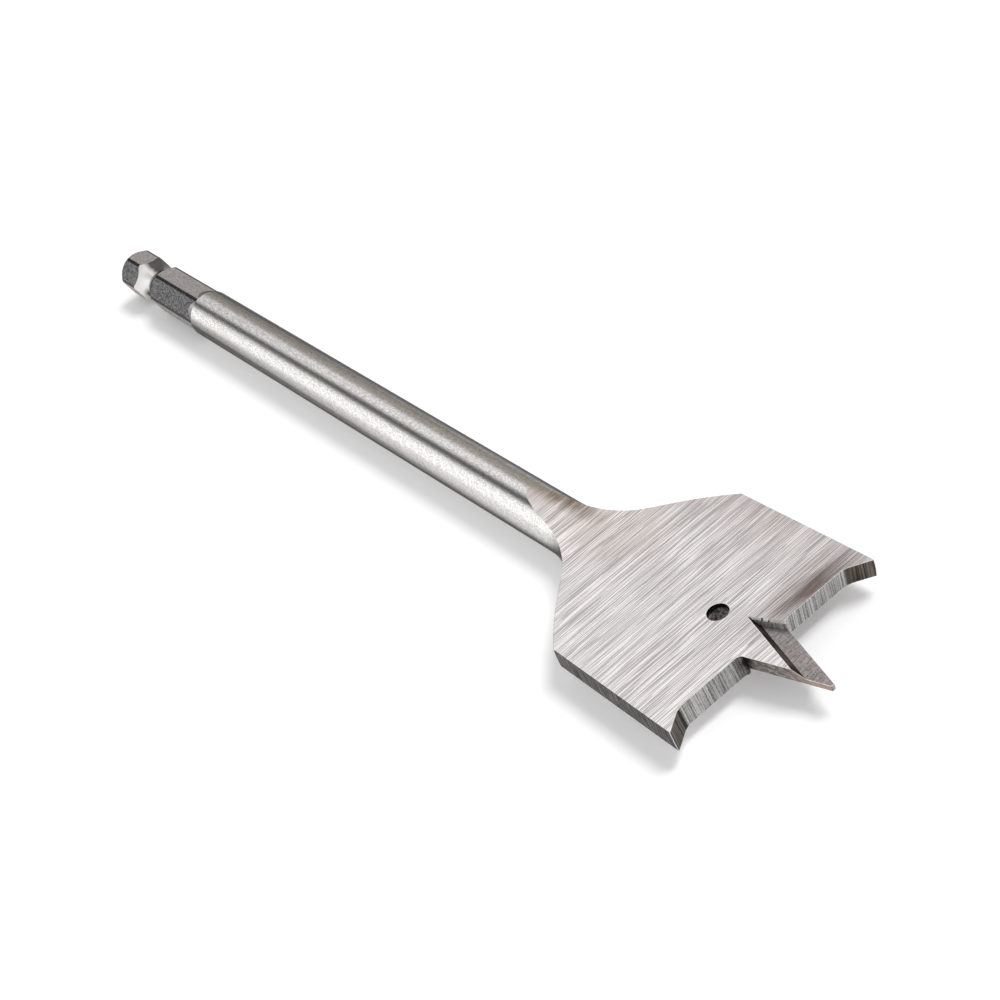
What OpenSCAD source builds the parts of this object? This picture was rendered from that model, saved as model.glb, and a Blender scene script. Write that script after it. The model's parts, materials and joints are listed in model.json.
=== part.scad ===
// Spade drill bit for wood: one piece of steel, forged from round bar, turned and ground.
// The axis runs along +X from the middle of the shank's end face to the point.
// The blade lies level in the XY plane, and the part is the same turned half round its axis.

/* [Overall] */
// Length from the shank's end face to the tip of the point
overall_len = 160; // [150:1:180]
// Diameter of the hole that the spurs cut
cut_d = 32; // [28:0.5:36]
// Thickness of the blade between its ground faces
blade_t = 2.8; // [2.4:0.1:3.2]

/* [Hex shank] */
// Width across the flats, for a quarter-inch hex drive
hex_af = 6.25; // [6.15:0.05:6.3]
// Radius of the corners between the flats
hex_corner_r = 0.5; // [0.4:0.05:0.8]
// Length of the flats, from the end face to where the shaft begins
hex_len = 21.2; // [18:0.2:26]
// Turn of the upper flat away from the blade's face, about the axis, in degrees
hex_turn = 13; // [0:1:30]
// Diameter of the end face, inside its chamfer
hex_end_d = 6; // [5.4:0.1:6.2]
// Slope of the end chamfer against the axis
hex_end_slope = 30; // [25:1:45]

/* [Detent groove] */
// Distance from the end face to the middle of the groove
groove_x = 7.4; // [7:0.1:9]
// Width of the groove where it meets the corners
groove_w = 5.4; // [4.5:0.1:6]
// Diameter at the bottom of the groove
groove_d = 4.9; // [4.6:0.1:5.5]

/* [Shaft] */
// Diameter of the round shaft
shaft_d = 7.1; // [7.1:0.1:7.8]
// Length of the lead-in cone between the flats and the full shaft
shaft_lead = 1.6; // [1:0.1:3]

/* [Blade outline] */
// Distance from the cutting lips back to the shoulder corners
blade_len = 20.5; // [17:0.5:24]
// Clearance of each shoulder corner inside the hole that the spurs cut
side_clearance = 0.6; // [0.3:0.1:1]
// Slope of the shoulder against the axis where it reaches the corner
shoulder_slope = 37; // [34:1:40]
// Slope of the shoulder against the axis where the neck's curve meets it
neck_slope = 50; // [47:1:53]
// Radius of the neck's inward curve, off the shaft
neck_r = 10.5; // [8:0.5:13]
// Angle of the ramp that carries the faces up onto the shaft
ramp_slope = 8.4; // [7.5:0.1:10]
// Radius of the curve between face and ramp
ramp_r = 40; // [20:1:60]

/* [Cutting end] */
// Length of the point in front of the lips
point_len = 11.25; // [9:0.25:13]
// Width of the point at the lips
point_root_w = 6.7; // [6:0.1:8]
// Width of the blunt tip
point_tip_w = 0.5; // [0.3:0.1:1]
// Radius in the corner between lip and point
root_r = 0.7; // [0.4:0.1:1.2]
// Clearance angle ground behind lips, spurs and point
relief = 8.4; // [5:0.2:12]
// Distance that the spurs lead the lips
spur_lead = 2.1; // [1.5:0.1:2.8]
// Slope of a spur's inner facet against the lip
spur_slope = 34; // [30:1:40]
// Radius between lip and spur
spur_r = 3; // [2:0.1:4]

/* [Point gullet] */
// Depth of the gullet below the blade's face
gullet_depth = 1; // [0.7:0.05:1.1]
// Width from the point's edge to the top of the gullet's side wall
gullet_w = 3; // [2.6:0.1:3.2]
// Slope of the side wall against the face
gullet_wall_slope = 50; // [45:1:60]
// Distance along the point's edge from the lip to the back wall
gullet_start = 0.4; // [0:0.1:1]
// Angle between the gullet's back wall and the point's edge
gullet_back_angle = 38; // [35:1:45]
// Slope of the back wall against the face
gullet_back_slope = 80; // [65:1:85]

/* [Pull hole] */
// Diameter of the hole through the blade, for a pulling wire
hole_d = 2.8; // [2.2:0.1:4]
// Distance from the lips back to the middle of the hole
hole_back = 7.85; // [6.5:0.05:12]

/* [Hidden] */
$fn = 96;
steel = [0.72, 0.71, 0.70];
// Overlap of every cutter past the steel that it removes
over = 2;
cut_r = cut_d / 2;
shaft_r = shaft_d / 2;
half_t = blade_t / 2;
// Length of a flat between its rounded corners, and how far the corners stand from the axis
hex_edge = (hex_af - 2 * hex_corner_r) * tan(30);
hex_corner_d = 2 * (hex_edge + hex_corner_r);
// Height of a cutter that goes through the blade
through_t = blade_t + 2 * over;
// Stations along the axis
lip_x = overall_len - point_len;
spur_x = lip_x + spur_lead;
shoulder_x = lip_x - blade_len;
shaft_x = hex_len + shaft_lead;
// The neck's inward curve leaves the shaft at a tangent and meets the shoulder's outward curve
shoulder_half_w = cut_r - side_clearance;
neck_half_w = shaft_r + neck_r * (1 - cos(neck_slope));
shoulder_r = (shoulder_half_w - neck_half_w) / (cos(shoulder_slope) - cos(neck_slope));
neck_x = shoulder_x - shoulder_r * (sin(neck_slope) - sin(shoulder_slope));
neck_start_x = neck_x - neck_r * sin(neck_slope);
// Taper of the blade's sides, so that only the spurs touch the hole
side_taper = side_clearance / (spur_x - shoulder_x);
// Angle of the point's edges against the axis
point_angle = atan((point_root_w - point_tip_w) / 2 / point_len);
// Turn of the seam of the round surfaces, off the line that the shaft lies on
seam_turn = 7.5;

// A profile drawn with the axis along +X and the radius along +Y, turned about the axis
module turned() {
    rotate([seam_turn, 0, 0])
        rotate([0, 90, 0])
            rotate_extrude()
                rotate(90)
                    mirror([0, 1])
                        children();
}

// A point at a distance from a place, along a direction in degrees
function along(place, direction, distance) = place + distance * [cos(direction), sin(direction)];

// How far a rounding of radius r reaches along the two edges of a corner, given their directions
function round_reach(from, to, r) = r / tan((to - from) / 2);

// The disc that rounds a corner whose edges leave it in the two directions
module round_disc(corner, from, to, r) {
    half_angle = (to - from) / 2;
    translate(along(corner, from + half_angle, r / sin(half_angle)))
        circle(r = r);
}

// Section of the hexagonal bar, with one pair of flats facing +X and -X
module hex_section() {
    for (turn = [0, 60, 120])
        rotate(turn) {
            square([hex_af, hex_edge], center = true);
            for (side = [-1, 1])
                translate([0, side * hex_edge])
                    circle(r = hex_corner_r);
        }
}

// Hexagonal bar along the axis, chamfered at its end and waisted by the detent groove
module hex_shank() {
    end_len = (hex_corner_d - hex_end_d) / 2 / tan(hex_end_slope);
    groove_depth = (hex_corner_d - groove_d) / 2;
    groove_r = (pow(groove_w / 2, 2) + pow(groove_depth, 2)) / (2 * groove_depth);
    difference() {
        intersection() {
            rotate([-hex_turn, 0, 0])
                rotate([0, 90, 0])
                    linear_extrude(height = shaft_x)
                        hex_section();
            turned()
                polygon([
                    [0, 0],
                    [0, hex_end_d / 2],
                    [end_len, hex_corner_d / 2],
                    [end_len, hex_corner_d],
                    [shaft_x + over, hex_corner_d],
                    [shaft_x + over, 0],
                ]);
        }
        turned()
            translate([groove_x, groove_d / 2 + groove_r])
                circle(r = groove_r);
    }
}

// Side view of one edge of the blank: lead-in cone, shaft, neck, shoulder and side
module blank_profile() {
    lead_rise = (shaft_r - hex_af / 2) / shaft_lead;
    difference() {
        union() {
            polygon([
                [hex_len - over, 0],
                [hex_len - over, hex_af / 2 - over * lead_rise],
                [shaft_x, shaft_r],
                [neck_start_x, shaft_r],
                [neck_x, neck_half_w],
                [shoulder_x, shoulder_half_w],
                [overall_len, shoulder_half_w + side_taper * (overall_len - shoulder_x)],
                [overall_len, 0],
            ]);
            intersection() {
                translate([
                    shoulder_x + shoulder_r * sin(shoulder_slope),
                    shoulder_half_w - shoulder_r * cos(shoulder_slope),
                ])
                    circle(r = shoulder_r);
                translate([neck_x, 0])
                    square([shoulder_x - neck_x, shoulder_half_w]);
            }
        }
        translate([neck_start_x, shaft_r + neck_r])
            circle(r = neck_r);
    }
}

// Steel ground off above the blade: the level face, and the ramp up onto the shaft
module face_cutter() {
    run = ramp_r * tan(ramp_slope / 2);
    ramp_len = shaft_d / tan(ramp_slope);
    rotate([90, 0, 0])
        linear_extrude(height = cut_d + 2 * over, center = true)
            union() {
                polygon([
                    [overall_len + over, half_t],
                    [neck_x + run, half_t],
                    [neck_x - run * cos(ramp_slope), half_t + run * sin(ramp_slope)],
                    [neck_x - ramp_len, half_t + shaft_d],
                    [neck_x - ramp_len, cut_d],
                    [overall_len + over, cut_d],
                ]);
                translate([neck_x + run, half_t + ramp_r])
                    circle(r = ramp_r);
            }
}

// Outline of the steel ground off in front of one lip, with its spur and one flank of the point
module front_outline() {
    root = [lip_x, point_root_w / 2];
    spur_root = [lip_x, cut_r - spur_lead / tan(spur_slope)];
    facet_dir = 90 - spur_slope;
    root_reach = round_reach(-point_angle, 90, root_r);
    spur_reach = round_reach(-90, facet_dir, spur_r);
    flank_len = (point_len + over) / cos(point_angle);
    facet_len = (spur_lead + over) / sin(spur_slope);
    polygon([
        along(root, -point_angle, root_reach),
        along(root, -point_angle, flank_len),
        [overall_len + over, cut_d],
        along(spur_root, facet_dir, facet_len),
        along(spur_root, facet_dir, spur_reach),
        along(spur_root, -90, spur_reach),
        along(root, 90, root_reach),
    ]);
    round_disc(root, -point_angle, 90, root_r);
    round_disc(spur_root, -90, facet_dir, spur_r);
}

// The outline cut through the blade, leaning back from the leading face by the relief
module front_cutter() {
    translate([lip_x, 0, half_t])
        rotate([0, relief, 0])
            translate([-lip_x, 0, over - through_t])
                linear_extrude(height = through_t)
                    front_outline();
}

// A section across the point's edge, drawn out along the edge to both sides of the lip
module along_edge() {
    reach = point_len + gullet_w / sin(gullet_back_angle) + over;
    rotate([90, 0, 90])
        linear_extrude(height = 2 * reach, center = true)
            children();
}

// Rake ground into the point along one edge, from behind the lip to the tip
module gullet_cutter() {
    wall_run = 1 / tan(gullet_wall_slope);
    back_run = 1 / tan(gullet_back_slope);
    translate([lip_x, point_root_w / 2, half_t])
        rotate([0, 0, -point_angle])
            intersection() {
                along_edge()
                    polygon([
                        [-gullet_w - over * wall_run, over],
                        [-gullet_w + gullet_depth * wall_run, -gullet_depth],
                        [gullet_w, -gullet_depth],
                        [gullet_w, over],
                    ]);
                translate([gullet_start, 0, 0])
                    rotate([0, 0, gullet_back_angle])
                        along_edge()
                            polygon([
                                [over * back_run, over],
                                [-over * back_run, -over],
                                [-over * back_run - point_len, -over],
                                [-over * back_run - point_len, over],
                            ]);
            }
}

// The whole bit, with its two faces, lips and gullets ground alike
module spade_bit() {
    color(steel)
        difference() {
            union() {
                hex_shank();
                turned()
                    blank_profile();
            }
            for (turn = [0, 180])
                rotate([turn, 0, 0]) {
                    face_cutter();
                    front_cutter();
                    gullet_cutter();
                }
            translate([lip_x - hole_back, 0, 0])
                cylinder(d = hole_d, h = through_t, center = true);
        }
}

spade_bit();
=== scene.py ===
"""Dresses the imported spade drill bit: one merged steel body with a finish for each worked surface."""

import json
import logging
import math
import random
from dataclasses import dataclass, field
from enum import Enum

import bmesh
import bpy
from mathutils import Matrix, Vector


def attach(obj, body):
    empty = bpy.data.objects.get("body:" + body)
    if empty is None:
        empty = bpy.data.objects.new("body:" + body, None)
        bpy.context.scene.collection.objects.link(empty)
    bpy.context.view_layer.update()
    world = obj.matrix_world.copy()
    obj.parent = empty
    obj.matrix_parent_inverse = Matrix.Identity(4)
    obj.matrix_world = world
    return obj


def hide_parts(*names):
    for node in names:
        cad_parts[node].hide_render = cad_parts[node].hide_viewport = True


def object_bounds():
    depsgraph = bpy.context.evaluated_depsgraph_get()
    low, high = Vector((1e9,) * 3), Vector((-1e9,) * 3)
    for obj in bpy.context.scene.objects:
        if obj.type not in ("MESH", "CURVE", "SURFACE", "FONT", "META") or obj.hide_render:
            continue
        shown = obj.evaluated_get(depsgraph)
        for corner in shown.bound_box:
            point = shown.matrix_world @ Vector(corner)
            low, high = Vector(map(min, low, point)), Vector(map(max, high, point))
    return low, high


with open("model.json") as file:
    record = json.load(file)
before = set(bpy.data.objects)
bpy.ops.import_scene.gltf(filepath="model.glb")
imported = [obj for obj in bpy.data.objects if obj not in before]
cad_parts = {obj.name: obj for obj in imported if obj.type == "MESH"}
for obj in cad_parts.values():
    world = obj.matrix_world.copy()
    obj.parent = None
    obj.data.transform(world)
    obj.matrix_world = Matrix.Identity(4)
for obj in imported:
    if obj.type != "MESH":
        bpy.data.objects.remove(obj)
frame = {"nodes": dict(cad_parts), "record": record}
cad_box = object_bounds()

log = logging.getLogger("spade_bit")

MM = 0.001

Triple = tuple[float, float, float]
Socket = bpy.types.NodeSocket
Work = bmesh.types.BMesh
Edges = list[bmesh.types.BMEdge]


class Zone(Enum):
    """The surfaces of the bit, by the operation that finished them, with the hex's flats split into a lit
    and a painted shaded copy, and narrow edge flats with painted highlight or painted shade.
    """

    FACE = "blade_face"
    LIP = "cutting_lip"
    SPUR = "spur_facet"
    SIDE = "blade_side"
    FLANK = "point_flank"
    GULLET_FLOOR = "gullet_floor"
    GULLET_WALL = "gullet_side_wall"
    GULLET_BACK = "gullet_back_wall"
    HOLE = "pull_hole_wall"
    SHAFT = "satin_shaft"
    # The hex's flats come as a lit copy and a painted shaded copy of one finish
    HEX = "hex_lit_copy"
    HEX_DARK = "hex_painted_shaded_copy"
    # The hex's rounded corners carry painted shade
    HEX_RIDGE = "hex_corners_painted_shade"
    GROOVE = "detent_groove"
    # Narrow edge flats with painted highlight and painted shade
    BRIGHT_EDGE = "painted_highlight_edge"
    DARK_EDGE = "painted_shade_edge"

    @property
    def material_index(self) -> int:
        """The zone's place among the piece's materials."""
        return list(Zone).index(self)


class Blend(Enum):
    """The ways in which one colour is laid over another."""

    MIX = "MIX"
    MULTIPLY = "MULTIPLY"
    LIGHTEN = "LIGHTEN"


class NodeBench:
    """A node tree with short calls that add, set and link its nodes."""

    def __init__(self, tree: bpy.types.NodeTree) -> None:
        """Keeps the tree that the calls work on."""
        self.tree = tree

    def put(self, value: object, socket: Socket) -> None:
        """Links a socket to an input, or sets the input to a plain value.

        Args:
            value: A socket, or a number or colour.
            socket: The input.
        """
        if isinstance(value, Socket):
            self.tree.links.new(value, socket)
        else:
            socket.default_value = value

    def add(self, kind: str, inputs: dict | None = None, **settings: object) -> bpy.types.Node:
        """Adds a node.

        Args:
            kind: The node's type, without the ShaderNode prefix.
            inputs: Values and sockets for its inputs, by name or index.
            settings: Values for the node's own properties.

        Returns:
            The new node.
        """
        node = self.tree.nodes.new("ShaderNode" + kind)
        for name, value in settings.items():
            setattr(node, name, value)
        for key, value in (inputs or {}).items():
            self.put(value, node.inputs[key])
        return node

    def math(self, operation: str, *values: object) -> Socket:
        """Adds a Math node.

        Args:
            operation: The Math node's operation.
            values: Numbers and sockets, in the order of its inputs.

        Returns:
            Its output socket.
        """
        return self.add("Math", dict(enumerate(values)), operation=operation).outputs[0]

    def blend(self, share: object, first: object, second: object, mode: Blend = Blend.MIX) -> Socket:
        """Lays one colour over another.

        Args:
            share: How much of the second colour shows.
            first: Colour or socket at share 0.
            second: Colour or socket at share 1.
            mode: How the second colour is laid on.

        Returns:
            The resulting colour's socket.
        """
        node = self.add("Mix", data_type="RGBA", blend_type=mode.value)
        colours = [socket for socket in node.inputs if socket.type == "RGBA"]
        self.put(share, node.inputs["Factor"])
        self.put(first, colours[0])
        self.put(second, colours[1])
        return next(socket for socket in node.outputs if socket.type == "RGBA")


@dataclass
class Effects:
    """Node groups that several finishes share, each built once."""

    # Step between the two samples of the lines, whose difference gives each line a painted lit side and a
    # painted shaded side in the colour, and also feeds the lines' bump
    line_step: Triple = (0.45, 0.1, 0.3)
    # Noise values between which a deep scratch fades in, and its depth
    scratch_range: tuple[float, float] = (0.58, 0.68)
    scratch_depth: float = 0.35
    broad_share: float = 0.05
    made: dict[str, bpy.types.NodeTree] = field(default_factory=dict)

    def _start(
        self, name: str, inputs: dict[str, str], outputs: list[str]
    ) -> tuple[NodeBench, object, object]:
        """Opens a new group with its sockets.

        Args:
            name: The group's name.
            inputs: Socket types by input name.
            outputs: Names of the value outputs.

        Returns:
            The bench, the group's inputs as seen inside it, and its outputs as seen inside it.
        """
        tree = bpy.data.node_groups.new(name, "ShaderNodeTree")
        for label, kind in inputs.items():
            tree.interface.new_socket(label, in_out="INPUT", socket_type="NodeSocket" + kind)
        for label in outputs:
            tree.interface.new_socket(label, in_out="OUTPUT", socket_type="NodeSocketFloat")
        self.made[name] = tree
        given = tree.nodes.new("NodeGroupInput").outputs
        return NodeBench(tree), given, tree.nodes.new("NodeGroupOutput").inputs

    def ground_lines(self) -> bpy.types.NodeTree:
        """Lines of a grinding belt: fine scores with a painted lit side and a painted shaded side, over
        slow bands.

        Returns:
            The group, with the outputs Lines and Bands.
        """
        name = "ground_lines"
        if name in self.made:
            return self.made[name]
        bench, given, out = self._start(name, {"Vector": "Vector", "Contrast": "Float"}, ["Lines", "Bands"])
        place = given["Vector"]
        aside = bench.add("VectorMath", {0: place, 1: self.line_step}, operation="ADD").outputs[0]
        fine = {"Scale": 1.0, "Detail": 0.5, "Roughness": 0.5}
        deep = {"Scale": 0.9, "Detail": 0.0}
        low, high = self.scratch_range
        sides = []
        for spot in (place, aside):
            score = bench.add("TexNoise", {"Vector": spot, **fine}).outputs[0]
            scratch = bench.add("TexNoise", {"Vector": spot, **deep}).outputs[0]
            sparse = {"Value": scratch, "From Min": low, "From Max": high, "To Max": self.scratch_depth}
            cut = bench.add("MapRange", sparse, interpolation_type="SMOOTHSTEP").outputs[0]
            sides.append(bench.math("ADD", score, cut))
        coarse = bench.add("TexNoise", {"Vector": place, "Scale": 0.31, "Detail": 1.0}).outputs[0]
        bands = bench.add("TexNoise", {"Vector": place, "Scale": 0.05, "Detail": 2.0}).outputs[0]
        relief = bench.math("SUBTRACT", *sides)
        broad = bench.math("MULTIPLY", bench.math("SUBTRACT", coarse, 0.5), self.broad_share)
        mixed = bench.math("ADD", relief, broad)
        scaled = bench.math("MULTIPLY_ADD", mixed, given["Contrast"], 0.5)
        bench.put(bench.add("Clamp", {"Value": scaled}).outputs[0], out["Lines"])
        bench.put(bands, out["Bands"])
        return bench.tree

    def satin_grain(self) -> bpy.types.NodeTree:
        """Fine speckle of a polished or pickled surface.

        Returns:
            The group, with the output Grain.
        """
        name = "satin_grain"
        if name in self.made:
            return self.made[name]
        bench, given, out = self._start(
            name, {"Vector": "Vector", "Cells": "Float", "Contrast": "Float"}, ["Grain"]
        )
        speck = {"Vector": given["Vector"], "Scale": given["Cells"], "Detail": 2.0, "Roughness": 0.6}
        noise = bench.add("TexNoise", speck).outputs[0]
        scaled = bench.math("MULTIPLY_ADD", bench.math("SUBTRACT", noise, 0.5), given["Contrast"], 0.5)
        bench.put(bench.add("Clamp", {"Value": scaled}).outputs[0], out["Grain"])
        return bench.tree


@dataclass(frozen=True)
class SteelFinish:
    """One finish of bare steel: ground lines and satin grain in colour, gloss and relief."""

    zone: Zone
    dark: Triple
    light: Triple
    roughness: tuple[float, float]
    cells_per_metre: Triple
    contrast: float = 2.0
    line_bump: float = 0.2
    grain_cells: float = 6000.0
    grain_contrast: float = 2.0
    grain_share: float = 0.2
    grain_bump: float = 0.1
    bump_depth: float = 0.05 * MM
    metallic: float = 1.0
    # Tint of the reflection at a grazing angle
    rim: Triple = (1.0, 1.0, 1.0)
    # Colour that the slow bands drift toward
    drift: Triple = (0.9, 0.88, 0.87)

    def tinted(self, bench: NodeBench, place: Socket, colour: Socket) -> Socket:
        """Leaves the colour as it is. Finishes with stains of their own change it here."""
        return colour

    def material(self, effects: Effects) -> bpy.types.Material:
        """Builds the finish as a material.

        Args:
            effects: The shared node groups.

        Returns:
            The material.
        """
        made = bpy.data.materials.new("steel_" + self.zone.value)
        made.use_nodes = True
        bench = NodeBench(made.node_tree)
        shader = made.node_tree.nodes["Principled BSDF"].inputs
        shader["Metallic"].default_value = self.metallic
        shader["Specular Tint"].default_value = (*self.rim, 1.0)
        place = bench.add("TexCoord").outputs["Object"]
        stretched = bench.add("Mapping", {"Vector": place, "Scale": self.cells_per_metre}).outputs[0]
        scores = {"Vector": stretched, "Contrast": self.contrast}
        lines = bench.add("Group", node_tree=effects.ground_lines())
        specks = {"Vector": place, "Cells": self.grain_cells, "Contrast": self.grain_contrast}
        grain = bench.add("Group", node_tree=effects.satin_grain())
        for node, inputs in ((lines, scores), (grain, specks)):
            for key, value in inputs.items():
                bench.put(value, node.inputs[key])
        score, speck = lines.outputs["Lines"], grain.outputs["Grain"]
        pattern = bench.add("Mix", {"Factor": self.grain_share, 2: score, 3: speck}).outputs[0]
        steel = bench.blend(pattern, (*self.dark, 1.0), (*self.light, 1.0))
        drifted = bench.blend(lines.outputs["Bands"], steel, (*self.drift, 1.0), Blend.MULTIPLY)
        bench.put(self.tinted(bench, place, drifted), shader["Base Color"])
        low, high = self.roughness
        rough = bench.add("MapRange", {"Value": pattern, "To Min": high, "To Max": low}).outputs[0]
        bench.put(rough, shader["Roughness"])
        depth = {"Distance": self.bump_depth}
        pits = bench.add("Bump", {**depth, "Strength": self.grain_bump, "Height": speck}).outputs[0]
        cuts = bench.add("Bump", {**depth, "Strength": self.line_bump, "Height": score, "Normal": pits})
        bench.put(cuts.outputs[0], shader["Normal"])
        return made


@dataclass(frozen=True)
class Stain:
    """A soft ragged oval of colour on the steel."""

    centre: Triple
    reach: Triple
    colour: Triple
    strength: float = 1.0
    mode: Blend = Blend.MULTIPLY
    gain: float = 2.0
    cells_per_metre: Triple = (900.0, 160.0, 900.0)

    def over(self, bench: NodeBench, place: Socket, colour: Socket) -> Socket:
        """Lays the stain over a colour.

        Args:
            bench: The material's node tree.
            place: Object coordinates.
            colour: The colour below the stain.

        Returns:
            The stained colour's socket.
        """
        scale = tuple(1.0 / reach for reach in self.reach)
        shift = tuple(-middle * size for middle, size in zip(self.centre, scale))
        oval = bench.add("Mapping", {"Vector": place, "Scale": scale, "Location": shift}).outputs[0]
        drawn = bench.add("Mapping", {"Vector": place, "Scale": self.cells_per_metre}).outputs[0]
        cloud = bench.add("TexNoise", {"Vector": drawn, "Scale": 1.0, "Detail": 4.0}).outputs[0]
        soft = bench.add("TexGradient", {"Vector": oval}, gradient_type="SPHERICAL").outputs[1]
        ragged = bench.math("MULTIPLY", soft, bench.math("MULTIPLY", cloud, self.gain))
        share = bench.math("MULTIPLY", bench.add("Clamp", {"Value": ragged}).outputs[0], self.strength)
        return bench.blend(share, colour, (*self.colour, 1.0), self.mode)


@dataclass(frozen=True)
class StainedFinish(SteelFinish):
    """A steel finish with stains, such as the heat tint beside a ground edge, or painted shade in a crease
    or hollow.
    """

    stains: tuple[Stain, ...] = ()

    def tinted(self, bench: NodeBench, place: Socket, colour: Socket) -> Socket:
        """Lays each stain over the colour in turn.

        Args:
            bench: The material's node tree.
            place: Object coordinates.
            colour: The colour below the stains.

        Returns:
            The stained colour's socket.
        """
        for stain in self.stains:
            colour = stain.over(bench, place, colour)
        return colour


def mm(x: float, y: float, z: float) -> Triple:
    """Turns a place or a reach in millimetres into metres."""
    return (x * MM, y * MM, z * MM)


# A reach in millimetres that is far past the bit, so the stain doesn't fade that way
ANYWHERE = 1000.0
RAMP_SATIN = Stain(
    mm(103.5, 0.0, 0.0), mm(7.5, ANYWHERE, ANYWHERE), (0.78, 0.76, 0.75),
    mode=Blend.MIX, gain=2.6, cells_per_metre=(5000.0, 5000.0, 0.0),
)
LIP_HEAT = Stain(mm(147.8, 8.5, 0.0), mm(4.2, 11.0, ANYWHERE), (0.30, 0.25, 0.23))
NECK_HEAT = (
    Stain(
        mm(115.0, 3.0, 0.0), mm(14.0, 10.0, ANYWHERE), (0.92, 0.88, 0.82),
        cells_per_metre=(4000.0, 130.0, 0.0),
    ),
    Stain(
        mm(108.0, 2.4, 0.0), mm(9.5, 2.6, ANYWHERE), (0.42, 0.375, 0.32),
        gain=3.2, cells_per_metre=(2500.0, 400.0, 0.0),
    ),
    Stain(mm(104.0, 1.0, 0.0), mm(6.0, 3.5, ANYWHERE), (0.62, 0.56, 0.5)),
)
SIDE_HEAT = Stain(mm(132.0, 17.0, 0.0), mm(20.0, 9.0, ANYWHERE), (0.78, 0.74, 0.71), strength=0.8)
ROOT_SHADE = Stain(mm(149.0, -3.2, 0.0), mm(1.6, 1.5, ANYWHERE), (0.06, 0.055, 0.05))
NECK_SHADE = Stain(
    mm(120.5, 0.0, 0.0), mm(6.0, ANYWHERE, ANYWHERE), (0.2, 0.19, 0.185),
    gain=1.6, cells_per_metre=(600.0, 600.0, 600.0),
)
NECK_FADE = Stain(
    mm(119.8, 0.0, 0.0), mm(9.0, ANYWHERE, ANYWHERE), (0.26, 0.25, 0.245),
    mode=Blend.MIX, cells_per_metre=(600.0, 600.0, 600.0),
)
TIP_COPPER = Stain(
    mm(159.0, -1.0, 0.0), mm(4.8, 4.0, ANYWHERE), (0.46, 0.34, 0.27),
    strength=0.65, mode=Blend.MIX, gain=3.0, cells_per_metre=(2600.0, 2600.0, 2600.0),
)
# Painted shade in the detent groove: on its far upper side, next to the hex body's shoulder, and on its
# near underside
GROOVE_OXIDE = (
    Stain(
        mm(7.4, 3.0, 2.0), mm(8.0, 3.7, 8.0), (0.12, 0.11, 0.105),
        gain=8.0, cells_per_metre=(800.0, 800.0, 800.0),
    ),
    Stain(
        mm(8.9, -1.0, 0.5), mm(1.3, 6.0, 6.0), (0.05, 0.05, 0.05),
        gain=4.0, cells_per_metre=(2500.0, 500.0, 500.0),
    ),
    Stain(
        mm(8.2, -2.6, -0.8), mm(2.6, 1.8, 1.9), (0.03, 0.03, 0.03),
        gain=4.0, cells_per_metre=(800.0, 800.0, 800.0),
    ),
)
HOLE_MOUTH = Stain(
    mm(140.9, 0.0, 1.9), mm(4.0, 4.0, 1.9), (0.01, 0.01, 0.01),
    gain=6.0, cells_per_metre=(900.0, 900.0, 900.0),
)

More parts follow.
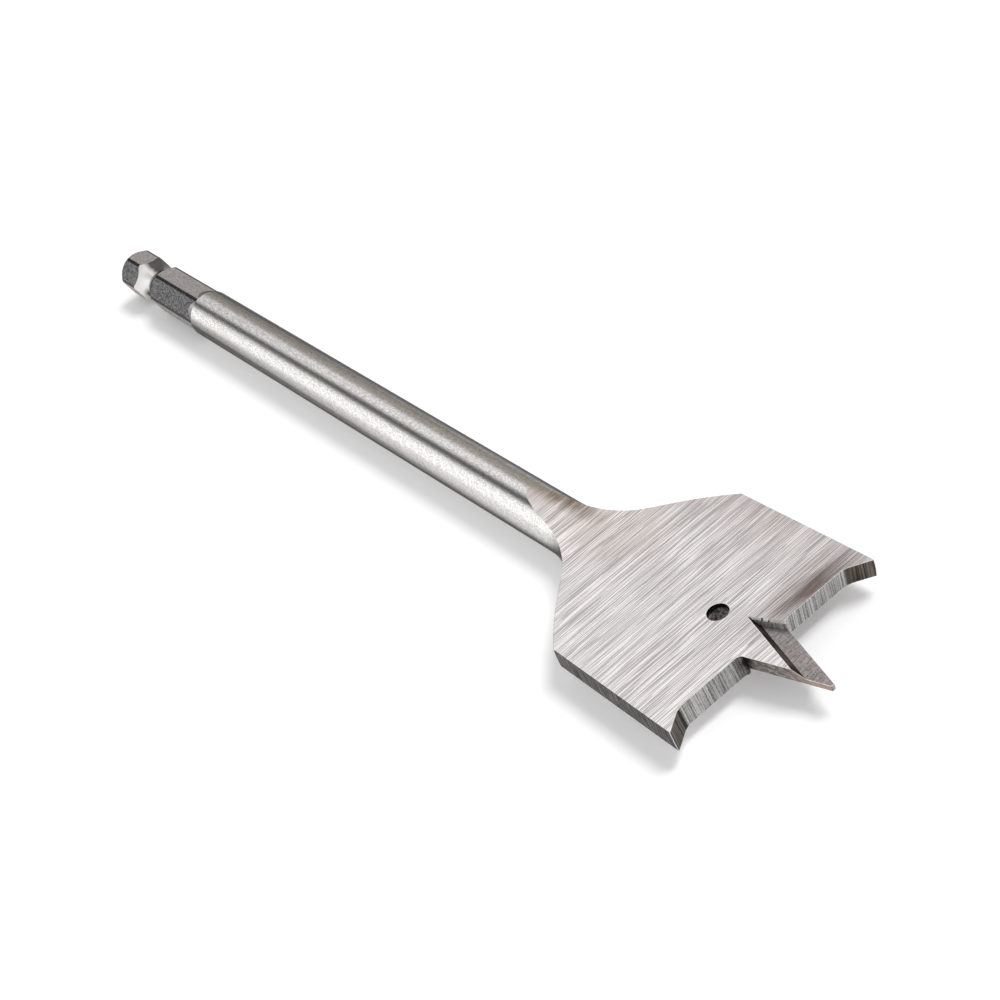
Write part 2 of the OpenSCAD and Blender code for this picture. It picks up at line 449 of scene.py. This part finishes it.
FINISHES = (
    StainedFinish(
        Zone.FACE, (0.53, 0.515, 0.51), (1.0, 0.99, 0.985), (0.24, 0.36), (7600.0, 120.0, 0.0),
        contrast=11.0, line_bump=0.08, grain_share=0.1, drift=(0.97, 0.945, 0.95),
        stains=(RAMP_SATIN, LIP_HEAT, *NECK_HEAT, SIDE_HEAT),
    ),
    StainedFinish(
        Zone.LIP, (0.10, 0.105, 0.10), (0.63, 0.63, 0.62), (0.35, 0.5), (60.0, 6500.0, 90.0),
        contrast=2.6, line_bump=0.1, grain_contrast=3.0, grain_share=0.4, stains=(ROOT_SHADE,),
    ),
    SteelFinish(
        Zone.SPUR, (0.022, 0.019, 0.016), (0.17, 0.145, 0.123), (0.35, 0.5), (60.0, 4200.0, 90.0),
        contrast=3.0, line_bump=0.3,
    ),
    StainedFinish(
        Zone.SIDE, (0.004, 0.004, 0.004), (0.17, 0.163, 0.158), (0.4, 0.55), (4000.0, 4000.0, 400.0),
        contrast=4.0, grain_share=0.35, grain_contrast=3.0, stains=(NECK_FADE,),
    ),
    StainedFinish(
        Zone.FLANK, (0.07, 0.062, 0.058), (0.42, 0.385, 0.36), (0.4, 0.5), (900.0, 900.0, 2500.0),
        contrast=3.0, grain_share=0.5, grain_contrast=3.0, stains=(TIP_COPPER, ROOT_SHADE),
    ),
    SteelFinish(
        Zone.GULLET_FLOOR, (0.21, 0.197, 0.193), (0.57, 0.537, 0.527), (0.35, 0.45), (3500.0, 900.0, 0.0),
        contrast=2.2, grain_share=0.6, grain_cells=5500.0, grain_contrast=3.0,
    ),
    SteelFinish(
        Zone.GULLET_WALL, (0.04, 0.032, 0.028), (0.19, 0.16, 0.142), (0.45, 0.55), (300.0, 300.0, 800.0),
    ),
    SteelFinish(
        Zone.GULLET_BACK, (0.15, 0.145, 0.14), (0.75, 0.73, 0.71), (0.4, 0.5), (2500.0, 2500.0, 300.0),
        contrast=3.0, grain_share=0.6, metallic=0.2,
    ),
    StainedFinish(
        Zone.HOLE, (0.03, 0.028, 0.025), (1.0, 0.99, 0.97), (0.2, 0.3), (2500.0, 2500.0, 2500.0),
        contrast=4.0, grain_cells=3000.0, grain_contrast=4.0, grain_share=0.6, grain_bump=1.0,
        bump_depth=0.3 * MM, metallic=0.2, rim=(0.0, 0.0, 0.0), stains=(HOLE_MOUTH,),
    ),
    StainedFinish(
        Zone.SHAFT, (0.54, 0.53, 0.52), (0.95, 0.94, 0.93), (0.17, 0.25), (900.0, 2500.0, 2500.0),
        contrast=1.5, line_bump=0.03, grain_cells=5000.0, grain_contrast=3.2, grain_share=0.75,
        rim=(0.1, 0.1, 0.1), drift=(0.95, 0.94, 0.93), stains=(NECK_SHADE,),
    ),
    # Lit copy of the hex's finish, for every other flat and the shank's end; the flats between get the
    # painted shaded copy below
    SteelFinish(
        Zone.HEX, (0.17, 0.16, 0.155), (0.44, 0.415, 0.405), (0.4, 0.55), (800.0, 2500.0, 2500.0),
        contrast=1.8, line_bump=0.1, grain_cells=4400.0, grain_contrast=3.0, grain_share=0.85,
        metallic=0.3,
    ),
    # Painted shaded copy of the hex's finish, much darker, for the flats between the lit ones
    SteelFinish(
        Zone.HEX_DARK, (0.012, 0.012, 0.013), (0.22, 0.22, 0.23), (0.4, 0.55), (800.0, 2500.0, 2500.0),
        contrast=1.8, line_bump=0.1, grain_cells=4200.0, grain_contrast=4.0, grain_share=0.85,
        metallic=0.3,
    ),
    # Near-black painted shade along the hex's rounded corners
    SteelFinish(
        Zone.HEX_RIDGE, (0.004, 0.004, 0.004), (0.06, 0.06, 0.06), (0.4, 0.5), (800.0, 2500.0, 2500.0),
        contrast=1.8, line_bump=0.1, grain_cells=3500.0, grain_contrast=4.0, grain_share=0.8,
    ),
    StainedFinish(
        Zone.GROOVE, (0.85, 0.84, 0.83), (1.0, 0.99, 0.98), (0.2, 0.28), (900.0, 300.0, 300.0),
        contrast=1.2, line_bump=0.05, metallic=0.4, rim=(0.0, 0.0, 0.0), stains=GROOVE_OXIDE,
    ),
    # Painted highlight on narrow edge flats
    SteelFinish(
        Zone.BRIGHT_EDGE, (0.75, 0.74, 0.73), (1.0, 0.99, 0.98), (0.25, 0.4), (900.0, 900.0, 900.0),
        metallic=0.15,
    ),
    # Painted shade on narrow edge flats
    SteelFinish(
        Zone.DARK_EDGE, (0.02, 0.02, 0.02), (0.1, 0.1, 0.095), (0.4, 0.5), (900.0, 900.0, 900.0),
    ),
)


@dataclass(frozen=True)
class Slopes:
    """Limits on a face's unit normal that tell one worked surface from another."""

    # Least Z of a level face, and most Z of the hole's wall
    level_z: float = 0.985
    upright_z: float = 0.1
    # Most X of a surface that runs along the axis, and least X of the shank's end and its chamfer
    along_x: float = 0.05
    end_x: float = 0.2
    # Z of a gullet's side wall, and least turn of its back wall toward the axis
    wall_z: tuple[float, float] = (0.5, 0.8)
    back_y: float = 0.8
    # Most X of a point's flank, least X of a cutting surface, and most X of a spur's facet
    flank_x: float = 0.6
    cutting_x: float = 0.4
    spur_x: float = 0.93
    # Most Y and least X of the ramp up to the shaft
    ramp_y: float = 0.02
    ramp_x: float = 0.01
    # Least Z of a broken edge that gets the painted highlight; lower ones get the painted shade
    lit_z: float = 0.2


@dataclass
class SpadeBit:
    """The bit's single piece of steel, as a merged copy of its CAD node with worn edges."""

    node: str = "spade_bit"
    body: str = "root"
    slot: str = "steel"
    name: str = "steel_bit"
    slopes: Slopes = Slopes()
    # Shank
    end_x: float = 2.0 * MM
    hex_x: float = 21.0 * MM
    hex_turn: float = 13.0
    flat_step: float = 60.0
    # Angle between the flats that get the lit copy of the hex's finish; the flats between get the painted
    # shaded copy
    jaw_step: float = 120.0
    flat_spread: float = 1.0
    groove_from: float = 4.5 * MM
    groove_to: float = 10.3 * MM
    groove_reach: float = 3.05 * MM
    # Blade and point
    half_t: float = 1.4 * MM
    face_gap: float = 0.1 * MM
    ramp_x: float = 105.0 * MM
    neck_x: float = 119.8 * MM
    hole_r: float = 1.45 * MM
    lip_x: float = 148.75 * MM
    lip_gap: float = 1.0 * MM
    root_x: float = 149.2 * MM
    flank_gap: float = 5.0 * MM
    gullet_from: float = 144.0 * MM
    gullet_half_w: float = 4.5 * MM
    back_z: float = 0.2 * MM
    spur_half_w: float = 10.0 * MM
    # Merging and shading
    merge_gap: float = 0.001 * MM
    flat_angle: float = math.radians(0.3)
    sharp_angle: float = math.radians(14.0)
    # Worn edges, broken with narrow flats that carry painted highlight or painted shade
    edge_angle: float = math.radians(28.0)
    edge_from: float = 120.0 * MM
    edge_w: float = 0.06 * MM
    bright_w: float = 0.1 * MM
    # Burrs, whose lean is a share of their width and whose least height is a share of the height there
    burr_w: float = 0.24 * MM
    burr_h: float = 0.42 * MM
    burr_cuts: int = 22
    burr_lean: float = 0.4
    burr_least: float = 0.2
    burr_seed: int = 5

    def hole_x(self) -> float:
        """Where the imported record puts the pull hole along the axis."""
        mounts = {mount["name"]: mount for mount in frame["record"]["mounts"]}
        return mounts["pull_hole"]["pos_m"][0]

    @staticmethod
    def _off_step(angle: float, step: float) -> float:
        """How far an angle lies from the nearest multiple of a step."""
        return abs((angle + step / 2) % step - step / 2)

    def _hex_zone(self, way: Vector) -> Zone:
        """Tells every other flat, which gets the lit copy of the hex's finish, from the flats between,
        which get a painted shaded copy, and from the rounded corners.

        Args:
            way: The face's normal.

        Returns:
            The face's zone.
        """
        turn = math.degrees(math.atan2(-way.y, way.z)) + self.hex_turn
        if abs(way.x) < self.slopes.along_x and self._off_step(turn, self.flat_step) > self.flat_spread:
            return Zone.HEX_RIDGE
        # Alternate flats get the lit copy, the others the painted shaded copy
        gripped = self._off_step(turn, self.jaw_step) < self.flat_step / 2
        return Zone.HEX if gripped else Zone.HEX_DARK

    def _shank_zone(self, place: Vector, way: Vector) -> Zone:
        """Tells the shank's groove, its end and its flats apart.

        Args:
            place: The face's middle.
            way: The face's normal.

        Returns:
            The face's zone.
        """
        waisted = self.groove_from < place.x < self.groove_to
        inside = math.hypot(place.y, place.z) < self.groove_reach or abs(way.x) > self.slopes.along_x
        if waisted and inside:
            return Zone.GROOVE
        if place.x < self.end_x and way.x < -self.slopes.end_x:
            return Zone.HEX
        return self._hex_zone(way)

    def _point_zone(self, place: Vector, way: Vector) -> Zone | None:
        """Tells the surfaces of the point and its gullets apart.

        Args:
            place: The face's middle.
            way: The face's normal.

        Returns:
            The face's zone, or None for a part of the lips.
        """
        if abs(way.z) > self.slopes.level_z:
            return Zone.FACE if abs(place.z) > self.half_t - self.face_gap else Zone.GULLET_FLOOR
        least, most = self.slopes.wall_z
        if least < abs(way.z) < most:
            return Zone.GULLET_WALL
        inward = -math.copysign(1.0, place.y) * way.y
        if place.x < self.root_x and abs(place.z) > self.back_z and inward > self.slopes.back_y:
            return Zone.GULLET_BACK
        if way.x < self.slopes.flank_x or place.x > self.lip_x + self.flank_gap:
            return Zone.FLANK
        return None

    def zone_of(self, face: bmesh.types.BMFace) -> Zone:
        """Tells which operation finished a face.

        Args:
            face: A face of the merged copy.

        Returns:
            Its zone.
        """
        place, way = face.calc_center_median(), face.normal
        if place.x < self.hex_x:
            return self._shank_zone(place, way)
        in_hole = math.hypot(place.x - self.hole_x(), place.y) < self.hole_r
        if in_hole and abs(way.z) < self.slopes.upright_z:
            return Zone.HOLE
        if place.x > self.gullet_from and abs(place.y) < self.gullet_half_w:
            zone = self._point_zone(place, way)
            if zone:
                return zone
        if place.x > self.lip_x - self.lip_gap and way.x > self.slopes.cutting_x:
            spurred = abs(place.y) > self.spur_half_w and way.x < self.slopes.spur_x
            return Zone.SPUR if spurred else Zone.LIP
        flat = abs(way.z) > self.slopes.level_z and abs(way.y) < self.slopes.ramp_y
        ground = place.x > self.ramp_x and (way.x > self.slopes.ramp_x or place.x > self.neck_x)
        if flat and ground:
            return Zone.FACE
        return Zone.SIDE if place.x > self.neck_x else Zone.SHAFT

    def _between(self, work: Work, first: Zone, second: Zone) -> Edges:
        """Finds the edges where two zones meet.

        Args:
            work: The merged copy.
            first: One zone.
            second: The other zone.

        Returns:
            The edges.
        """
        pair = {first.material_index, second.material_index}
        return [edge for edge in work.edges if {face.material_index for face in edge.link_faces} == pair]

    def _break(self, work: Work, edges: Edges, width: float, zone: Zone | None = None) -> None:
        """Breaks edges with a narrow flat.

        Args:
            work: The merged copy.
            edges: The edges to break.
            width: How far the flat reaches back from each edge.
            zone: The flat's zone. Left out, it gets the painted highlight where it looks up and the painted
                shade elsewhere.
        """
        broken = bmesh.ops.bevel(
            work, geom=edges, offset=width, offset_type="OFFSET", affect="EDGES", segments=1, profile=0.5,
            material=-1, clamp_overlap=True,
        )
        work.normal_update()
        for face in broken["faces"]:
            # Flats that look up get the painted highlight, the others the painted shade
            by_height = Zone.BRIGHT_EDGE if face.normal.z > self.slopes.lit_z else Zone.DARK_EDGE
            face.material_index = (zone or by_height).material_index

    def _break_edges(self, work: Work) -> None:
        """Breaks the edges that use has worn, each kind at its own width.

        Args:
            work: The merged copy.
        """
        # Flats along the spurs' outer corners and the pull hole's rim get the painted highlight, those
        # along the blade's sides the painted shade
        self._break(work, self._between(work, Zone.SPUR, Zone.SIDE), self.bright_w, Zone.BRIGHT_EDGE)
        self._break(work, self._between(work, Zone.HOLE, Zone.FACE), self.bright_w, Zone.BRIGHT_EDGE)
        self._break(work, self._between(work, Zone.SIDE, Zone.FACE), self.edge_w, Zone.DARK_EDGE)
        done = {Zone.BRIGHT_EDGE.material_index, Zone.DARK_EDGE.material_index}
        worn = [
            edge
            for edge in work.edges
            if len(edge.link_faces) == 2
            and not done & {face.material_index for face in edge.link_faces}
            and edge.calc_face_angle_signed() > self.edge_angle
            and min(vert.co.x for vert in edge.verts) > self.edge_from
        ]
        self._break(work, worn, self.edge_w)

    def _raise_burr(self, work: Work, start: Vector, end: Vector) -> None:
        """Lays a ragged burr along a gullet's back edge, which stands up more toward the lip.

        Args:
            work: The merged copy.
            start: The edge's end at the gullet's inner corner.
            end: The edge's end at the lip.
        """
        draw = random.Random(self.burr_seed)
        up = math.copysign(1.0, start.z)
        # Each step of the burr gets, at random, the painted highlight or, one time in three, the painted
        # shade
        tones = [Zone.BRIGHT_EDGE, Zone.BRIGHT_EDGE, Zone.DARK_EDGE]
        foot = Vector((0.0, 0.0, -self.burr_w * up))
        half = Vector((0.0, 0.5 * self.burr_w, 0.0))
        corners = [work.verts.new(start + offset) for offset in (foot - half, foot + half, Vector())]
        end_face = work.faces.new(corners)
        ridge = list(corners)
        for cut in range(1, self.burr_cuts + 1):
            share = cut / self.burr_cuts
            grown = bmesh.ops.extrude_face_region(work, geom=[end_face])["geom"]
            if cut > 1:
                bmesh.ops.delete(work, geom=[end_face], context="FACES_ONLY")
            corners = [item for item in grown if isinstance(item, bmesh.types.BMVert)]
            end_face = next(item for item in grown if isinstance(item, bmesh.types.BMFace))
            bmesh.ops.translate(work, verts=corners, vec=(end - start) / self.burr_cuts)
            crest = max(corners, key=lambda corner: corner.co.z * up)
            lean = self.burr_w * draw.uniform(-self.burr_lean, self.burr_lean)
            lift = self.burr_h * share * draw.uniform(self.burr_least, 1.0) * up
            crest.co = start.lerp(end, share) + Vector((0.0, lean, lift))
            tone = draw.choice(tones)
            for face in {face for corner in corners for face in corner.link_faces}:
                face.material_index = tone.material_index
            ridge += corners
        skin = {face for corner in ridge for face in corner.link_faces}
        bmesh.ops.recalc_face_normals(work, faces=list(skin))

    def _merged_copy(self) -> Work:
        """Copies the CAD node's mesh, merges its triangles and marks its zones.

        Returns:
            The merged copy.
        """
        work = bmesh.new()
        work.from_mesh(frame["nodes"][self.node].data)
        bmesh.ops.remove_doubles(work, verts=work.verts, dist=self.merge_gap)
        work.normal_update()
        for face in work.faces:
            face.material_index = self.zone_of(face).material_index
        bmesh.ops.dissolve_limit(
            work, angle_limit=self.flat_angle, verts=work.verts, edges=work.edges, delimit={"MATERIAL"}
        )
        work.normal_update()
        return work

    def _set_shading(self, work: Work) -> None:
        """Shades the piece smooth, apart from its bends and the borders of its zones.

        Args:
            work: The finished copy.
        """
        for face in work.faces:
            face.smooth = True
        for edge in work.edges:
            sides = {face.material_index for face in edge.link_faces}
            bent = len(edge.link_faces) == 2 and edge.calc_face_angle() > self.sharp_angle
            edge.smooth = not (bent or len(sides) > 1)

    def build(self) -> bpy.types.Object:
        """Makes the piece that stands for the CAD node, with worn edges and burrs.

        Returns:
            The finished piece, at the origin.
        """
        work = self._merged_copy()
        burred = self._between(work, Zone.GULLET_BACK, Zone.FACE)
        burrs = [[vert.co.copy() for vert in edge.verts] for edge in burred]
        self._break_edges(work)
        for ends in burrs:
            start, end = sorted(ends, key=lambda spot: spot.x)
            self._raise_burr(work, start, end)
        self._set_shading(work)
        mesh = bpy.data.meshes.new(self.name)
        work.to_mesh(mesh)
        work.free()
        piece = bpy.data.objects.new(self.name, mesh)
        bpy.context.scene.collection.objects.link(piece)
        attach(piece, self.body)
        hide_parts(self.node)
        return piece

    def dress(self, piece: bpy.types.Object, effects: Effects) -> None:
        """Gives every zone its finish.

        Args:
            piece: The built piece.
            effects: The shared node groups.
        """
        finishes = {finish.zone: finish for finish in FINISHES}
        for zone in Zone:
            piece.data.materials.append(finishes[zone].material(effects))


@dataclass(frozen=True)
class StudioLight:
    """Long soft boxes and dark gaps along the bit's axis, and one broad lamp from the far side."""

    # Angle about the axis in degrees, from straight up toward the near side, and the colour seen there
    bands: tuple[tuple[float, Triple], ...] = (
        (-100.0, (0.34, 0.315, 0.28)),
        (-70.0, (0.46, 0.425, 0.375)),
        (-54.0, (0.50, 0.465, 0.42)),
        (-42.0, (0.42, 0.39, 0.36)),
        (-34.0, (0.82, 0.80, 0.80)),
        (-24.0, (1.05, 1.02, 1.03)),
        (-14.0, (1.12, 1.09, 1.11)),
        (2.0, (0.92, 0.90, 0.93)),
        (9.0, (0.58, 0.57, 0.58)),
        (17.0, (0.09, 0.09, 0.09)),
        (33.0, (0.08, 0.08, 0.08)),
        (43.0, (0.9, 0.9, 0.9)),
        (56.0, (1.3, 1.3, 1.29)),
        (80.0, (1.45, 1.45, 1.44)),
        (100.0, (1.45, 1.45, 1.45)),
    )
    # Share of that light on the point's side of the room, and where along the axis it fades to that
    point_side: float = 0.5
    fade_x: tuple[float, float] = (-0.5, 0.2)
    # Least colour on the point's side of the room, and where along the axis it sets in
    plain_side: Triple = (0.9, 0.9, 0.92)
    plain_x: tuple[float, float] = (-0.55, -0.25)
    lamp_from: Triple = (0.12, 0.5, 0.86)
    lamp_angle: float = math.radians(26.0)
    lamp_strength: float = 1.9

    def build(self) -> None:
        """Makes the world and the lamp."""
        self._build_world()
        self._build_lamp()

    def _build_world(self) -> None:
        """Paints the soft boxes on the world."""
        world = bpy.data.worlds.new("studio")
        world.use_nodes = True
        bpy.context.scene.world = world
        bench = NodeBench(world.node_tree)
        way = bench.add("SeparateXYZ", {"Vector": bench.add("TexCoord").outputs["Generated"]})
        along = {"Value": way.outputs["X"]}
        near = bench.math("MULTIPLY", way.outputs["Y"], -1.0)
        turn = bench.math("ARCTAN2", near, way.outputs["Z"])
        share = bench.add("MapRange", {"Value": turn, "From Min": -math.pi, "From Max": math.pi})
        ramp = bench.add("ValToRGB", {"Fac": share.outputs[0]})
        stops = ramp.color_ramp.elements
        while len(stops) < len(self.bands):
            stops.new(0.5)
        for stop, (angle, colour) in zip(stops, self.bands):
            stop.position = (angle + 180.0) / 360.0
            stop.color = (*colour, 1.0)
        low, high = self.plain_x
        plain = bench.add("MapRange", {**along, "From Min": low, "From Max": high}).outputs[0]
        boxes = bench.blend(plain, ramp.outputs[0], (*self.plain_side, 1.0), Blend.LIGHTEN)
        low, high = self.fade_x
        fade = {**along, "From Min": low, "From Max": high, "To Min": 1.0, "To Max": self.point_side}
        backdrop = world.node_tree.nodes["Background"].inputs
        bench.put(boxes, backdrop["Color"])
        bench.put(bench.add("MapRange", fade).outputs[0], backdrop["Strength"])

    def _build_lamp(self) -> None:
        """Hangs the broad lamp, which the steel doesn't mirror."""
        lamp = bpy.data.lights.new("broad_lamp", "SUN")
        lamp.energy = self.lamp_strength
        lamp.angle = self.lamp_angle
        holder = bpy.data.objects.new("broad_lamp", lamp)
        holder.visible_glossy = False
        holder.rotation_euler = Vector(self.lamp_from).to_track_quat("Z", "Y").to_euler()
        bpy.context.scene.collection.objects.link(holder)


@dataclass(frozen=True)
class Floor:
    """The plain white floor that the bit lies on, with a little light of its own where it is seen."""

    reach: float = 8.0
    sides: int = 64
    colour: Triple = (0.82, 0.82, 0.82)
    glow: Triple = (0.2, 0.2, 0.2)

    def _paint(self) -> bpy.types.Material:
        """Makes the floor's matt white paint.

        Returns:
            The material.
        """
        paint = bpy.data.materials.new("white_floor")
        paint.use_nodes = True
        shader = paint.node_tree.nodes["Principled BSDF"].inputs
        shader["Base Color"].default_value = (*self.colour, 1.0)
        shader["Roughness"].default_value = 1.0
        shader["Specular IOR Level"].default_value = 0.0
        shader["Emission Strength"].default_value = 1.0
        bench = NodeBench(paint.node_tree)
        path = bench.add("LightPath").outputs
        mirrored = bench.math("MAXIMUM", path["Is Glossy Ray"], path["Is Transmission Ray"])
        seen = bench.math("MAXIMUM", path["Is Camera Ray"], mirrored)
        bench.put(bench.blend(seen, (0.0, 0.0, 0.0, 1.0), (*self.glow, 1.0)), shader["Emission Color"])
        return paint

    def build(self) -> bpy.types.Object:
        """Lays the floor at the bit's lowest point.

        Returns:
            The floor.
        """
        work = bmesh.new()
        bmesh.ops.create_circle(work, cap_ends=True, segments=self.sides, radius=self.reach)
        bmesh.ops.translate(work, verts=work.verts, vec=(0.0, 0.0, cad_box[0].z))
        mesh = bpy.data.meshes.new("floor")
        work.to_mesh(mesh)
        work.free()
        mesh.materials.append(self._paint())
        floor = bpy.data.objects.new("floor", mesh)
        bpy.context.scene.collection.objects.link(floor)
        return floor


@dataclass(frozen=True)
class ViewCamera:
    """The camera at the photograph's viewing angle, fitted to the bit's edges."""

    place: Triple = (0.331167, -0.097316, 0.193181)
    right: Triple = (0.58180219, 0.74319163, -0.33041248)
    up: Triple = (-0.35341814, 0.59689851, 0.72028313)
    lens: float = 89.5776
    sensor: float = 36.0
    clip: tuple[float, float] = (0.01, 50.0)

    def build(self) -> bpy.types.Object:
        """Makes the scene's camera.

        Returns:
            The camera.
        """
        data = bpy.data.cameras.new("view")
        data.lens, data.sensor_width = self.lens, self.sensor
        data.clip_start, data.clip_end = self.clip
        camera = bpy.data.objects.new("view", data)
        right, up = Vector(self.right), Vector(self.up)
        turn = Matrix((right, up, right.cross(up))).transposed().to_4x4()
        camera.matrix_world = Matrix.Translation(self.place) @ turn
        bpy.context.scene.collection.objects.link(camera)
        bpy.context.scene.camera = camera
        return camera


def main() -> None:
    """Builds the camera, the studio and the dressed bit."""
    logging.basicConfig(level=logging.INFO, format="%(name)s: %(message)s")
    bpy.context.scene.view_settings.view_transform = "Standard"
    ViewCamera().build()
    StudioLight().build()
    Floor().build()
    bit = SpadeBit()
    piece = bit.build()
    bit.dress(piece, Effects())
    log.info("%s: %d faces", piece.name, len(piece.data.polygons))


if __name__ == "__main__":
    main()
